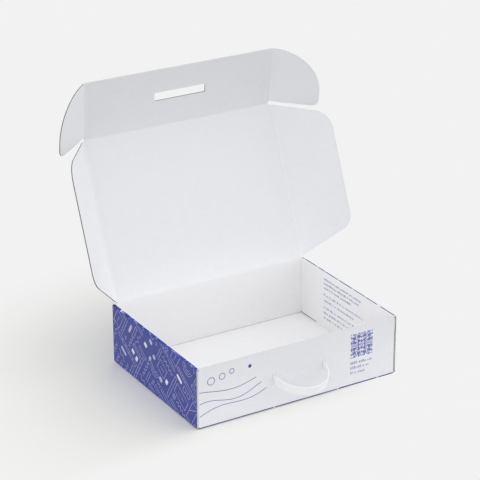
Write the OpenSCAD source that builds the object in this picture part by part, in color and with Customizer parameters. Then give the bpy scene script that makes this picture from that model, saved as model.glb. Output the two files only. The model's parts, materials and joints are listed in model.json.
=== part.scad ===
// Corrugated mailer box, standing open.
// One cut and creased sheet of white-lined micro-flute board makes the tray, the lid and
// the lid's flaps. A moulded carry handle is snapped through two slots in the front wall.
// X runs to the right, the front wall faces -Y, and the tray's underside lies on Z = 0.

/* [Board] */
// Thickness of the corrugated board
board_t = 1.5; // [1:0.1:2.5]
// Gap between two layers that lie folded on each other
layer_gap = 0.1; // [0.05:0.05:0.3]
// Inside radius of a crease
crease_r = 0.5; // [0.2:0.1:0.8]
// Gap at a crease that has to turn
hinge_gap = 0.2; // [0.1:0.05:0.4]

/* [Tray] */
// Width outside
tray_w = 320; // [240:5:450]
// Depth outside, front to back
tray_d = 238; // [215:1:320]
// Height outside
tray_h = 90; // [80:1:130]
// Length of the corner flaps inside the double side walls
corner_flap_l = 72; // [30:1:90]
// Distance from a corner flap to the floor and to the rolled top edge
corner_flap_gap = 1.5; // [0.5:0.5:5]

/* [Locking tabs] */
// Length of each tab under the inner side panels
tab_l = 44; // [20:1:50]
// Distance from the end of an inner side panel to its tab
tab_inset = 42; // [20:1:50]
// Play on each side of a tab in its slot
tab_play = 0.25; // [0.1:0.05:0.6]

/* [Lid] */
// Length from the back crease to the front crease
lid_l = 233; // [210:1:320]
// Angle from closed at which the lid stands
lid_open = 112.5; // [95:0.5:130]
// Play between a side flap and the inner side panel it slides down
flap_play = 0.3; // [0.1:0.05:1]

/* [Lid side flaps] */
// Width from crease to outer edge
side_flap_w = 87.5; // [60:0.5:88]
// How far the outer edge's back corner lies from the back crease
side_flap_back = 36; // [25:1:50]
// How far the outer edge's front corner lies from the front crease
side_flap_front = 31; // [25:0.5:45]
// Radius of the back corner
side_flap_back_r = 24; // [5:1:25]
// Radius of the front corner
side_flap_front_r = 33; // [5:1:35]
// Fold of the left flap out of the lid's plane
side_fold_left = 50; // [30:1:60]
// Fold of the right flap out of the lid's plane
side_fold_right = 47.5; // [30:0.5:60]

/* [Tuck flap] */
// Height from the front crease to the free edge
tuck_h = 88; // [60:1:88]
// Fold out of the lid's plane
tuck_fold = 29; // [15:0.5:40]
// Length of the long slot
tuck_slot_l = 83; // [40:1:120]
// Width of the long slot
tuck_slot_w = 12.5; // [6:0.5:18]
// Distance from the front crease to the slot
tuck_slot_z = 40; // [25:1:42]
// Corner radius of the slot
tuck_slot_r = 2; // [0.5:0.5:2.5]

/* [Tuck ears] */
// Width from crease to the furthest point
ear_w = 73.5; // [50:0.5:75]
// Distance from the lid's front crease to the ear's straight edge
ear_cut = 4; // [2:0.5:8]
// Height of the ear's widest point above the front crease
ear_wide_at = 26; // [24:1:40]
// Radius of the corner at the straight edge
ear_r = 11; // [5:1:18]
// Fold of the left ear
ear_fold_left = 37; // [25:0.5:50]
// Fold of the right ear
ear_fold_right = 38.5; // [25:0.5:50]

/* [Handle] */
// Distance between the strap's two ends
handle_pitch = 80; // [60:1:120]
// Height of the slots' middle above the ground
handle_z = 44.5; // [30:0.5:60]
// How far the strap stands out of the front wall
handle_bow = 42; // [25:1:55]
// Angle at which the strap droops
handle_droop = 14; // [5:0.5:18]
// Width of the strap
strap_w = 13.5; // [10:0.5:16]
// Thickness of the strap
strap_t = 1.8; // [1.2:0.1:2.5]
// Width of each slot in the front wall
handle_slot_w = 4.6; // [3.5:0.1:6]
// Play above and below the strap in its slot
handle_slot_play = 1.5; // [1:0.1:3]
// Height of the strap's anchor heads
head_h = 21; // [17.5:0.5:25]
// Depth of the strap's anchor heads
head_l = 5; // [3:0.5:8]
// Thickness of the strap's anchor heads
head_t = 3; // [2:0.1:4]
// Free strap between an anchor head and the wall
head_neck = 3; // [2.5:0.1:4.5]

/* [Hidden] */
$fn = 48;
arc_steps = 12;
eps = 0.01;

fold_r = crease_r + board_t;
wall_t = 3 * board_t + 2 * layer_gap;
pocket_w = board_t + 2 * layer_gap;
half_w = tray_w / 2;
half_d = tray_d / 2;
// the front and back walls lie between the outer side panels
end_half = half_w - board_t - layer_gap;
inner_half_w = half_w - wall_t;
// ends of the rolled tops and inner side panels, just inside the front and back walls
roll_half = half_d - board_t - layer_gap;

// axes of the creases that turn, each at mid thickness of the board
hinge_reach = board_t / 2 + hinge_gap;
lid_axis_y = half_d - board_t / 2;
lid_axis_z = tray_h + hinge_reach;
side_axis = inner_half_w - flap_play - board_t / 2;
ear_axis = side_axis - board_t - hinge_gap;

handle_slot_h = strap_w + 2 * handle_slot_play;
strap_span = handle_pitch / 2;

paper_white = [0.90, 0.91, 0.93];
lid_white = [0.86, 0.87, 0.90];
strap_white = [0.94, 0.94, 0.95];

// Direction from a to b, with length 1.
function unit(a, b) = (b - a) / norm(b - a);

// Points of the arc of radius r that rounds the corner b between a and c.
function corner_arc(a, b, c, r) =
    let(
        p = unit(b, a), q = unit(b, c),
        half = acos(p * q) / 2,
        mid = (p + q) / norm(p + q),
        centre = b + mid * r / sin(half),
        start = b + p * r / tan(half) - centre,
        stop = b + q * r / tan(half) - centre,
        a0 = atan2(start[1], start[0]),
        turn = (atan2(stop[1], stop[0]) - a0 + 540) % 360 - 180
    )
    [for (i = [0:arc_steps]) centre + r * [cos(a0 + turn * i / arc_steps), sin(a0 + turn * i / arc_steps)]];

// Turns a piece drawn flat in the closed lid's plane, with its crease on the X axis and the
// piece running towards -Y, to where the open lid stands.
module stand_lid() translate([0, lid_axis_y, lid_axis_z]) rotate([-lid_open, 0, 0]) children();
// The same for the tuck flap, which turns on the lid's front crease.
module stand_tuck() stand_lid() translate([0, -lid_l, 0]) rotate([tuck_fold, 0, 0]) children();

// Board of one layer cut to an outline drawn in the closed lid's plane.
module board() translate([0, 0, -board_t / 2]) linear_extrude(board_t) children();
// Rounded crease of a moving panel, from x0 to x1 along the X axis.
module nose_x(x0, x1) translate([x0, 0, 0]) rotate([0, 90, 0]) cylinder(d = board_t, h = x1 - x0);
// Rounded crease of a moving panel, running from y0 back to y1 along the Y axis.
module nose_y(y0, y1) translate([0, y1, 0]) rotate([90, 0, 0]) cylinder(d = board_t, h = y1 - y0);

// Quarter of a ring of board, about its centre, in the corner towards +X and -Y.
module fold_2d() intersection() {
    difference() { circle(r = fold_r); circle(r = crease_r); }
    translate([0, -fold_r]) square(fold_r);
}

// Section across a double side wall: outer panel, rolled top and inner panel, seen from
// the front with the outer face on the right at x = half_w.
module side_wall_2d() translate([half_w, 0]) difference() {
    union() {
        translate([-wall_t, board_t + layer_gap]) square([wall_t, tray_h - board_t - layer_gap - fold_r]);
        translate([-wall_t + fold_r, tray_h - fold_r]) square([wall_t - 2 * fold_r, fold_r]);
        translate([-fold_r, tray_h - fold_r]) circle(r = fold_r);
        translate([fold_r - wall_t, tray_h - fold_r]) circle(r = fold_r);
        translate([-fold_r, fold_r]) fold_2d();
    }
    translate([-board_t - pocket_w, board_t])
        square([pocket_w, tray_h - 2 * board_t - crease_r]);
    translate([-board_t - pocket_w + crease_r, board_t])
        square([pocket_w - 2 * crease_r, tray_h - 2 * board_t]);
    for (x = [-board_t - crease_r, crease_r - board_t - pocket_w])
        translate([x, tray_h - board_t - crease_r]) circle(r = crease_r);
    // the open quarter inside the bottom crease
    translate([-fold_r, fold_r]) circle(r = crease_r);
}

// A 2-D section drawn in X and Z, run from y0 to y1.
module along_y(y0, y1) translate([0, y1, 0]) rotate([90, 0, 0]) linear_extrude(y1 - y0) children();

module locking_tab(y0) translate([inner_half_w, y0, tab_play])
    cube([board_t, tab_l, board_t + 2 * layer_gap]);
module tab_slot(y0) translate([inner_half_w - tab_play, y0 - tab_play, -eps])
    cube([board_t + 2 * tab_play, tab_l + 2 * tab_play, board_t + 2 * eps]);

module side_wall() {
    along_y(-roll_half, roll_half) side_wall_2d();
    // the outer panel and the edge of its roll run on to the raw ends at the corners
    along_y(-half_d, half_d) intersection() {
        side_wall_2d();
        translate([half_w - board_t, fold_r]) square([board_t, tray_h]);
    }
    for (y0 = [tab_inset - roll_half, roll_half - tab_inset - tab_l]) locking_tab(y0);
}

// The front wall with its creases and corner flaps; mirrored, the back wall.
module end_wall() {
    translate([fold_r - end_half, -half_d, fold_r])
        cube([2 * (end_half - fold_r), board_t, tray_h - fold_r]);
    // crease along the floor
    translate([end_half - fold_r, fold_r - half_d, fold_r])
        rotate([0, -90, 0]) linear_extrude(2 * (end_half - fold_r)) mirror([1, 0]) fold_2d();
    flap_z0 = board_t + corner_flap_gap;
    flap_z1 = tray_h - board_t - corner_flap_gap;
    for (side = [-1, 1]) scale([side, 1, 1]) {
        translate([end_half - fold_r, fold_r - half_d, flap_z0]) linear_extrude(flap_z1 - flap_z0) fold_2d();
        translate([end_half - board_t, fold_r - half_d, flap_z0])
            cube([board_t, corner_flap_l, flap_z1 - flap_z0]);
        // shoulder above the corner flap
        translate([end_half - fold_r - eps, -half_d, flap_z1 + corner_flap_gap])
            cube([fold_r + eps, board_t, board_t]);
    }
}

module handle_slots() for (side = [-1, 1])
    translate([side * strap_span - handle_slot_w / 2, -half_d - eps, handle_z - handle_slot_h / 2])
        cube([handle_slot_w, board_t + 2 * eps, handle_slot_h]);

module tray() color(paper_white) {
    difference() {
        translate([fold_r - half_w, fold_r - half_d, 0])
            cube([tray_w - 2 * fold_r, tray_d - 2 * fold_r, board_t]);
        for (side = [-1, 1], y0 = [tab_inset - roll_half, roll_half - tab_inset - tab_l])
            scale([side, 1, 1]) tab_slot(y0);
    }
    difference() { end_wall(); handle_slots(); }
    mirror([0, 1, 0]) end_wall();
    side_wall();
    mirror([1, 0, 0]) side_wall();
}

module lid() color(lid_white) stand_lid() {
    lid_half = side_axis - hinge_reach;
    nose_x(-lid_half, lid_half);
    board() translate([-lid_half, hinge_reach - lid_l]) square([2 * lid_half, lid_l - hinge_reach]);
}

// A side flap drawn flat, crease on the Y axis, outline towards +X.
module side_flap_flat() {
    back = [0, -hinge_reach];
    back_corner = [side_flap_w, -side_flap_back];
    front_corner = [side_flap_w, side_flap_front - lid_l];
    front = [0, 2 * hinge_reach - lid_l];
    board() polygon(concat([back], corner_arc(back, back_corner, front_corner, side_flap_back_r),
        corner_arc(back_corner, front_corner, front, side_flap_front_r), [front]));
    nose_y(front[1], back[1]);
}
module lid_side_flap_right() color(lid_white)
    stand_lid() translate([side_axis, 0, 0]) rotate([0, side_fold_right, 0]) side_flap_flat();
module lid_side_flap_left() color(lid_white)
    stand_lid() translate([-side_axis, 0, 0]) rotate([0, -side_fold_left, 0])
        mirror([1, 0, 0]) side_flap_flat();

// The long slot's outline, with four rounded corners.
module tuck_slot_2d() {
    slot_y = -tuck_slot_z - tuck_slot_w;
    translate([-tuck_slot_l / 2 + tuck_slot_r, slot_y]) square([tuck_slot_l - 2 * tuck_slot_r, tuck_slot_w]);
    translate([-tuck_slot_l / 2, slot_y + tuck_slot_r]) square([tuck_slot_l, tuck_slot_w - 2 * tuck_slot_r]);
    for (x = [-1, 1] * (tuck_slot_l / 2 - tuck_slot_r), y = [tuck_slot_r, tuck_slot_w - tuck_slot_r])
        translate([x, slot_y + y]) circle(r = tuck_slot_r);
}
module tuck_flap() color(lid_white) stand_tuck() {
    tuck_half = ear_axis - hinge_reach;
    nose_x(-tuck_half, tuck_half);
    board() difference() {
        translate([-tuck_half, -tuck_h]) square([2 * tuck_half, tuck_h]);
        tuck_slot_2d();
    }
}

// An ear drawn flat, crease on the Y axis: a straight edge near the lid, a rounded corner,
// and a quarter of an ellipse from the widest point up to the tuck flap's free edge.
module ear_flat() {
    rise = tuck_h - ear_wide_at;
    foot = [0, -ear_cut];
    foot_corner = [ear_w, -ear_cut];
    widest = [ear_w, -ear_wide_at];
    curve = [for (i = [0:2 * arc_steps]) let(a = 90 * i / (2 * arc_steps))
        [ear_w * cos(a), -ear_wide_at - rise * sin(a)]];
    board() polygon(concat([foot], corner_arc(foot, foot_corner, widest, ear_r), curve));
    nose_y(-tuck_h, -ear_cut);
}
module tuck_ear_right() color(lid_white)
    stand_tuck() translate([ear_axis, 0, 0]) rotate([0, ear_fold_right, 0]) ear_flat();
module tuck_ear_left() color(lid_white)
    stand_tuck() translate([-ear_axis, 0, 0]) rotate([0, -ear_fold_left, 0])
        mirror([1, 0, 0]) ear_flat();

// Half of an ellipse, from its right end over its lowest point to its left end.
function half_ellipse(a, b) = let(n = 4 * arc_steps)
    [for (i = [0:n]) [a * cos(180 * i / n), -b * sin(180 * i / n)]];
function reversed(list) = [for (i = [len(list) - 1:-1:0]) list[i]];

// The strap is bowed out of the wall and droops about the slots' middle.
module handle() color(strap_white)
    translate([0, board_t / 2 - half_d, handle_z]) rotate([handle_droop, 0, 0]) {
        neck = board_t / 2 + head_neck;
        translate([0, 0, -strap_w / 2]) linear_extrude(strap_w) polygon(concat(
            half_ellipse(strap_span + strap_t / 2, handle_bow + strap_t / 2),
            reversed(half_ellipse(strap_span - strap_t / 2, handle_bow - strap_t / 2))));
        for (x = [-strap_span, strap_span]) {
            translate([x - strap_t / 2, -eps, -strap_w / 2]) cube([strap_t, neck + 2 * eps, strap_w]);
            translate([x - head_t / 2, neck, -head_h / 2]) cube([head_t, head_l, head_h]);
        }
    }

tray();
lid();
lid_side_flap_left();
lid_side_flap_right();
tuck_flap();
tuck_ear_left();
tuck_ear_right();
handle();
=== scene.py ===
import json
import math
import random

import bmesh
import bpy
from mathutils import Matrix, Vector
from mathutils.geometry import tessellate_polygon


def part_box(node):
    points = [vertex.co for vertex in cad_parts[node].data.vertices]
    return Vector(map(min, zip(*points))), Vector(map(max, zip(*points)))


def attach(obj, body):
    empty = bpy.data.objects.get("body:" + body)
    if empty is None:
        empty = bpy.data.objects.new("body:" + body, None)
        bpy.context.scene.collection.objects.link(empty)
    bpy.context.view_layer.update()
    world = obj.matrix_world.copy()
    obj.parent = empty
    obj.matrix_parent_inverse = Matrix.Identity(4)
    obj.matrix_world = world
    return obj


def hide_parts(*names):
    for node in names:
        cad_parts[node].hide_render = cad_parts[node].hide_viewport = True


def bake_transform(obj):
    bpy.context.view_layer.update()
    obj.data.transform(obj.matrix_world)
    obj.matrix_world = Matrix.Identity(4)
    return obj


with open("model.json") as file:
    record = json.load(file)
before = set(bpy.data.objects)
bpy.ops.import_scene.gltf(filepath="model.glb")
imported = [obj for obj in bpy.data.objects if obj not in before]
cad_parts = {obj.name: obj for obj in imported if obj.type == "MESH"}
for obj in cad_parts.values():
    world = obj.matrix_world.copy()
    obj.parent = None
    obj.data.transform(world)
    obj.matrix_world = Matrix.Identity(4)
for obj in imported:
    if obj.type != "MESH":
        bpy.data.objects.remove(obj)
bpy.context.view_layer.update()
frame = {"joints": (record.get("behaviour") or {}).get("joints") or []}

# Lengths are in millimetres, and makePiece turns them into metres. The studio and camera are in metres.
mm = 0.001
xAxis = Vector((1, 0, 0))
yAxis = Vector((0, 1, 0))
zAxis = Vector((0, 0, 1))

# Where each crease lies and which way it runs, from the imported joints.
creaseAt = {j["name"]: Vector(j["pos_m"]) / mm for j in frame["joints"]}
creaseRuns = {j["name"]: Vector(j["axis"]) for j in frame["joints"]}
creaseFold = {j["name"]: -math.radians(j["range_deg"][0]) for j in frame["joints"]}
halfW, halfD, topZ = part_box("tray")[1] / mm

board = {
    "thick": 1.5,
    "liner": 0.22,        # each facing paper
    "medium": 0.16,       # the wavy paper between the two
    "flutePitch": 3.3,
    "waveSteps": 10,      # steps drawn along one flute
    "gap": 0.1,           # between two layers folded on each other
    "bendInside": 0.5,    # inside radius of a crease
    "creaseHalf": 1.8,    # half the width of the scored band at a crease that turns
    "creaseCrush": 0.72,  # thickness left in the middle of that band
    "crushWide": 0.16,    # width of that middle, as a share of the band
    "creaseHeld": 1.3,    # how far from the crease the band starts to turn
    "lipProud": 0.04,     # a liner pressed over an edge that is cut along the flutes
    "seam": 0.15,         # half the gap left between two such lips
    "lipInset": 0.02,     # how far such a lip on a slot's edge stays within the board's faces
    "pressed": 0.4,       # how much of a flap's cut edge the inner liner covers
    "film": 0.03,         # how deep a film of ink or the painted crease shade sits in its liner
    "creaseShadeProud": 0.02,   # how far the painted crease shade stands off it, so that it shows
}
half = board["thick"] / 2
bendMid = board["bendInside"] + half
outerLiner = (-half, -half + board["liner"])
innerLiner = (half - board["liner"], half)
core = (-half + board["liner"], half - board["liner"])
scoredOuter = (-half, 0)
scoredInner = (0, half)
whiteOneSide = (outerLiner, innerLiner, scoredOuter, scoredInner)  # brown on the core's side and where cut


# Shapes drawn flat

def roundedOutline(corners, steps=10):
    # corners are (u, v, radius); a corner with no radius stays sharp
    outline = []
    for i, (u, v, radius) in enumerate(corners):
        here = Vector((u, v))
        if radius == 0:
            outline.append(here)
            continue
        before = (Vector(corners[i - 1][:2]) - here).normalized()
        after = (Vector(corners[(i + 1) % len(corners)][:2]) - here).normalized()
        opening = before.angle(after) / 2
        centre = here + (before + after).normalized() * (radius / math.sin(opening))
        first = here + before * (radius / math.tan(opening)) - centre
        last = here + after * (radius / math.tan(opening)) - centre
        turn = first.angle_signed(last)
        for k in range(steps + 1):
            outline.append(centre + Matrix.Rotation(-turn * k / steps, 2) @ first)
    return outline


def rectangle(u0, v0, u1, v1, radius=0):
    corners = [(u0, v0, radius), (u1, v0, radius), (u1, v1, radius), (u0, v1, radius)]
    return roundedOutline(corners, steps=6)


def centred(u, v, radius=0):
    return rectangle(-u, -v, u, v, radius)


def arcAround(u, v, radius, first, last, steps=16):
    # from the first angle to the last, in degrees
    turns = [math.radians(first + (last - first) * k / steps) for k in range(steps + 1)]
    return [Vector((u + radius * math.cos(a), v + radius * math.sin(a))) for a in turns]


def circleAround(u, v, radius, steps=20):
    return arcAround(u, v, radius, 0, 360, steps)[:-1]


# Where a flat panel stands: u follows the flutes, v crosses them, and inside is the box's inner side

def panelAt(origin, u, v, inside):
    return {"origin": origin, "u": u, "v": v, "inside": inside}


def placed(panel, u, v, n):
    return panel["origin"] + panel["u"] * u + panel["v"] * v + panel["inside"] * n


def flapAt(crease, carrier, side):
    # a flap folded inward by its crease's angle from the panel that carries it
    fold = creaseFold[crease]
    out = xAxis * side
    return panelAt(creaseAt[crease], out * math.cos(fold) + carrier["inside"] * math.sin(fold), carrier["v"],
                   carrier["inside"] * math.cos(fold) - out * math.sin(fold))


lidUp = creaseRuns["side_flap_left_crease"]
tuckUp = creaseRuns["ear_left_crease"]
lidPanel = panelAt(creaseAt["lid_crease"], xAxis, lidUp, xAxis.cross(lidUp))
tuckPanel = panelAt(creaseAt["tuck_crease"], xAxis, tuckUp, xAxis.cross(tuckUp))


# Meshes gathered as points, faces and a place in the flat blank for each point

def newSheet():
    return {"points": [], "faces": [], "blank": [], "raw": []}


def addPoint(sheet, point, u, v):
    sheet["points"].append(point)
    sheet["blank"].append((u * mm, v * mm))
    return len(sheet["points"]) - 1


def addOn(sheet, panel, u, v, n):
    return addPoint(sheet, placed(panel, u, v, n), u, v)


def addFace(sheet, corners, raw=False):
    if raw:
        sheet["raw"].append(len(sheet["faces"]))
    sheet["faces"].append(corners)


def addLoft(sheet, rings, closed=False, skin=None):
    # faces between rings of points, with shut ends; with a skin, every side but that one is raw
    cut = skin is not None
    for a, b in zip(rings, rings[1:] + (rings[:1] if closed else [])):
        for k in range(len(a)):
            addFace(sheet, [a[k], a[(k + 1) % len(a)], b[(k + 1) % len(a)], b[k]], cut and k != skin)
    for ring in () if closed else (rings[0], rings[-1]):
        addFace(sheet, ring, cut)


def addSlab(sheet, panel, outlines, layer):
    # one layer of paper cut to the outlines; the first is the edge and the others are holes
    flat = [p for outline in outlines for p in outline]
    rows = [[addOn(sheet, panel, p[0], p[1], n) for p in flat] for n in layer]
    liner = layer in whiteOneSide
    for triangle in tessellate_polygon([[Vector((p[0], p[1], 0)) for p in o] for o in outlines]):
        for row, n in zip(rows, layer):
            addFace(sheet, [row[i] for i in triangle], liner and abs(n) < half)
    start = 0
    for outline in outlines:
        for i in range(len(outline)):
            a = start + i
            b = start + (i + 1) % len(outline)
            addFace(sheet, [rows[0][a], rows[0][b], rows[1][b], rows[1][a]], liner)
        start += len(outline)


def spansAt(outlines, v):
    # where the outlines are cut by a line along u at v
    cuts = []
    for outline in outlines:
        for a, b in zip(outline, outline[1:] + outline[:1]):
            if (a[1] <= v) != (b[1] <= v):
                cuts.append(a[0] + (b[0] - a[0]) * (v - a[1]) / (b[1] - a[1]))
    cuts.sort()
    return list(zip(cuts[::2], cuts[1::2]))


def sameSpans(some, others, close=0.05):
    pairs = [(a, b) for s, o in zip(some, others) for a, b in zip(s, o)]
    return len(some) == len(others) and all(abs(a - b) < close for a, b in pairs)


def addLip(inner, outer, panel, u0, u1, edge, toward):
    # a cut along the flutes presses both liners over the edge, so that it shows white with a fine seam
    low, high = sorted((edge, edge + toward * board["lipProud"]))
    for sheet, layer in ((inner, (board["seam"], half)), (outer, (-half, -board["seam"]))):
        addSlab(sheet, panel, [rectangle(u0, low, u1, high)], layer)


def addMedium(sheet, panel, outlines):
    # the fluted paper: a sine wave across v, cut to the outlines
    rise = half - board["liner"] - board["medium"] / 2
    step = board["flutePitch"] / board["waveSteps"]
    corners = {round(p[1], 4) for outline in outlines for p in outline}
    low, high = min(corners), max(corners)
    waves = {round(step * k, 4) for k in range(math.ceil(low / step), math.floor(high / step) + 1)}
    levels = sorted(corners | waves)
    thinnest, hair = 0.02, 0.001
    levels = [v for v, after in zip(levels, levels[1:] + [high + 1]) if after - v > thinnest]
    before = []
    last = []
    for v0, v1 in zip(levels, levels[1:]):
        cells = []
        for (a0, b0), (a1, b1) in zip(spansAt(outlines, v0 + hair), spansAt(outlines, v1 - hair)):
            corner = []
            for v, a, b in ((v0, a0, b0), (v1, a1, b1)):
                middle = rise * math.sin(2 * math.pi * v / board["flutePitch"])
                for u, n in ((a, -1), (b, -1), (b, 1), (a, 1)):
                    corner.append(addOn(sheet, panel, u, v, middle + n * board["medium"] / 2))
            for k, after in ((0, 1), (1, 2), (2, 3), (3, 0)):
                addFace(sheet, [corner[k], corner[after], corner[4 + after], corner[4 + k]])
            cells.append(((a0, b0), (a1, b1), corner))
        if not sameSpans([c[0] for c in cells], before):
            # the cut changes here, so the strips before it end and new ones start
            sheet["faces"].extend(last)
            sheet["faces"].extend(c[2][:4] for c in cells)
        before = [c[1] for c in cells]
        last = [c[2][4:] for c in cells]
    sheet["faces"].extend(last)


def addStroke(sheet, panel, points, closed, width, layer):
    # a band of one width along the points
    count = len(points)
    if count < 2:
        return
    left = []
    right = []
    tiny, mitre = 1e-6, 0.5  # a step under tiny has no direction; corners reach twice the width at most
    for i, here in enumerate(points):
        before = points[i - 1] if closed or i > 0 else here
        after = points[(i + 1) % count] if closed or i < count - 1 else here
        into = (here - before).normalized() if (here - before).length > tiny else (after - here).normalized()
        onward = (after - here).normalized() if (after - here).length > tiny else into
        normal = Vector((-(into + onward).y, (into + onward).x))
        if normal.length < tiny:
            normal = Vector((-into.y, into.x))
        normal.normalize()
        bulge = max(mitre, normal.dot(Vector((-into.y, into.x))))
        left.append(here + normal * (width / 2 / bulge))
        right.append(here - normal * (width / 2 / bulge))
    rings = []
    for a, b in zip(left, right):
        rings.append([addOn(sheet, panel, p.x, p.y, n)
                      for p, n in ((a, layer[0]), (b, layer[0]), (b, layer[1]), (a, layer[1]))])
    addLoft(sheet, rings, closed)


def addSweep(sheet, stations, run, start, end, layer):
    # stations are (point, inside) across the fold; the sheet runs from start to end along run
    rings = []
    travelled = 0
    for i, (point, inside) in enumerate(stations):
        if i > 0:
            travelled += (point - stations[i - 1][0]).length
        ring = []
        for along, n in ((start, layer[0]), (end, layer[0]), (end, layer[1]), (start, layer[1])):
            ring.append(addPoint(sheet, point + run * along + inside * n, travelled, along))
        rings.append(ring)
    skin = 0 if abs(layer[0]) == half else 2
    addLoft(sheet, rings, skin=skin if layer in whiteOneSide else None)


def arcStations(centre, radius, e0, e1, angle0, angle1, steps=6):
    # the middle of the board on an arc, with the board's inner side towards the centre
    stations = []
    for k in range(steps + 1):
        a = math.radians(angle0 + (angle1 - angle0) * k / steps)
        out = e0 * math.cos(a) + e1 * math.sin(a)
        stations.append((centre + out * radius, -out))
    return stations


# Colours and materials

def linear(hexColour):
    # sRGB hex to the linear colour that the shaders take
    channels = [int(hexColour[i:i + 2], 16) / 255 for i in (1, 3, 5)]
    return tuple(c / 12.92 if c <= 0.04045 else ((c + 0.055) / 1.055) ** 2.4 for c in channels) + (1,)


def addNode(tree, kind, settings=None, values=None, links=None):
    node = tree.nodes.new("ShaderNode" + kind)
    for name, value in (settings or {}).items():
        setattr(node, name, value)
    for socket, value in (values or {}).items():
        node.inputs[socket].default_value = value
    for socket, source in (links or {}).items():
        tree.links.new(source, node.inputs[socket])
    return node


def emptyTree(owner):
    owner.use_nodes = True
    owner.node_tree.nodes.clear()
    return owner.node_tree


def newMaterial(name, values):
    # the values are set on the shader's own sockets
    material = bpy.data.materials.new(name)
    tree = emptyTree(material)
    shader = addNode(tree, "BsdfPrincipled", None, values)
    addNode(tree, "OutputMaterial", links={"Surface": shader.outputs[0]})
    return material, tree, shader


def dress(tree, shader, tones, share, bumps):
    # blends two tones of one colour by a pattern, and lays the bumps over each other as (height, pattern)
    first, second = (linear(tone) for tone in tones)
    mixed = addNode(tree, "Mix", {"data_type": "RGBA"}, {6: first, 7: second}, {0: share})
    tree.links.new(mixed.outputs[2], shader.inputs["Base Color"])
    under = {}
    for height, pattern in bumps:
        bump = addNode(tree, "Bump", None, {"Distance": height * mm}, {"Height": pattern, **under})
        under = {"Normal": bump.outputs[0]}
    tree.links.new(bump.outputs[0], shader.inputs["Normal"])


paper = {
    "washboard": 0.026,     # height of the flutes' print-through
    "fibre": 0.9,           # spacing of the fibre felt; real fibres are finer, this is as fine as shows
    "fibreHeight": 0.004,
    "cloud": 9.0,           # size of the cloudy patches that paper shows against the light
    "speck": 0.7,           # size of the specks in recycled paper
    "rawHeight": 0.02,      # and their height
}


def paperSurface(tree, shader, colour, cloudColour, roughness):
    # shared by every liner: faint washboard from the flutes, fibre felt, and cloudy formation
    blank = addNode(tree, "UVMap", {"uv_map": "blank"}).outputs[0]
    across = addNode(tree, "SeparateXYZ", links={0: blank}).outputs[1]
    turns = addNode(tree, "Math", {"operation": "MULTIPLY"},
                    {1: 2 * math.pi / (board["flutePitch"] * mm)}, {0: across}).outputs[0]
    wave = addNode(tree, "Math", {"operation": "SINE"}, links={0: turns}).outputs[0]
    flat = {"noise_dimensions": "2D"}
    patterns = []
    for size, detail, rough in ((paper["fibre"], 3, 0.6), (paper["cloud"], 4, 0.62)):
        values = {"Scale": 1 / (size * mm), "Detail": detail, "Roughness": rough}
        patterns.append(addNode(tree, "TexNoise", flat, values, {"Vector": blank}).outputs[0])
    felt, cloud = patterns
    patch = addNode(tree, "MapRange", None, {"From Min": 0.3, "From Max": 0.7}, {"Value": cloud}).outputs[0]
    bumps = [(paper["washboard"], wave), (paper["fibreHeight"], felt)]
    dress(tree, shader, (colour, cloudColour), patch, bumps)
    gloss = addNode(tree, "MapRange", None, {"To Min": roughness - 0.05, "To Max": roughness + 0.07},
                    {"Value": felt}).outputs[0]
    tree.links.new(gloss, shader.inputs["Roughness"])


def claycoatedLiner(name, colour, cloudColour):
    # white-top liner with a matt clay coat, rolled smooth: an even cool white that takes light softly
    material, tree, shader = newMaterial(name, {"Specular IOR Level": 0.3})
    paperSurface(tree, shader, colour, cloudColour, 0.62)
    return material


def offsetInk(name, colour, cloudColour):
    # offset ink on the coated liner, unvarnished: flat strong colour with a slightly uneven lay-down
    material, tree, shader = newMaterial(name, {"Specular IOR Level": 0.35})
    paperSurface(tree, shader, colour, cloudColour, 0.5)
    return material


def recycledFluting(name, darkColour, paleColour):
    # recycled kraft medium, machine-made and uncoated: grey-brown, speckled and quite dull
    material, tree, shader = newMaterial(name, {"Roughness": 0.9, "Specular IOR Level": 0.15})
    blank = addNode(tree, "UVMap", {"uv_map": "blank"}).outputs[0]
    speck = addNode(tree, "TexNoise", {"noise_dimensions": "2D"},
                    {"Scale": 1 / (paper["speck"] * mm), "Detail": 4}, {"Vector": blank}).outputs[0]
    ramp = addNode(tree, "MapRange", None, {"From Min": 0.35, "From Max": 0.65}, {"Value": speck}).outputs[0]
    dress(tree, shader, (darkColour, paleColour), ramp, [(paper["rawHeight"], speck)])
    return material


mould = {
    "grain": 0.8,         # spacing of the mould's fine satin; real satin is finer, this is as fine as shows
    "grainHeight": 0.006,
    "flow": 14,           # size of the faint clouds where the plastic flowed in
}


def mouldedPolythene(name):
    # injection-moulded polythene in a satin mould: milky white with soft highlights along the edges
    material, tree, shader = newMaterial(name, {"Roughness": 0.38, "IOR": 1.5})
    place = addNode(tree, "TexCoord").outputs["Object"]
    grain, flow = [
        addNode(tree, "TexNoise", None, {"Scale": 1 / (size * mm), "Detail": 2}, {"Vector": place}).outputs[0]
        for size in (mould["grain"], mould["flow"])]
    dress(tree, shader, ("#f4f4f6", "#f8f8f9"), flow, [(mould["grainHeight"], grain)])
    return material


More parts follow.
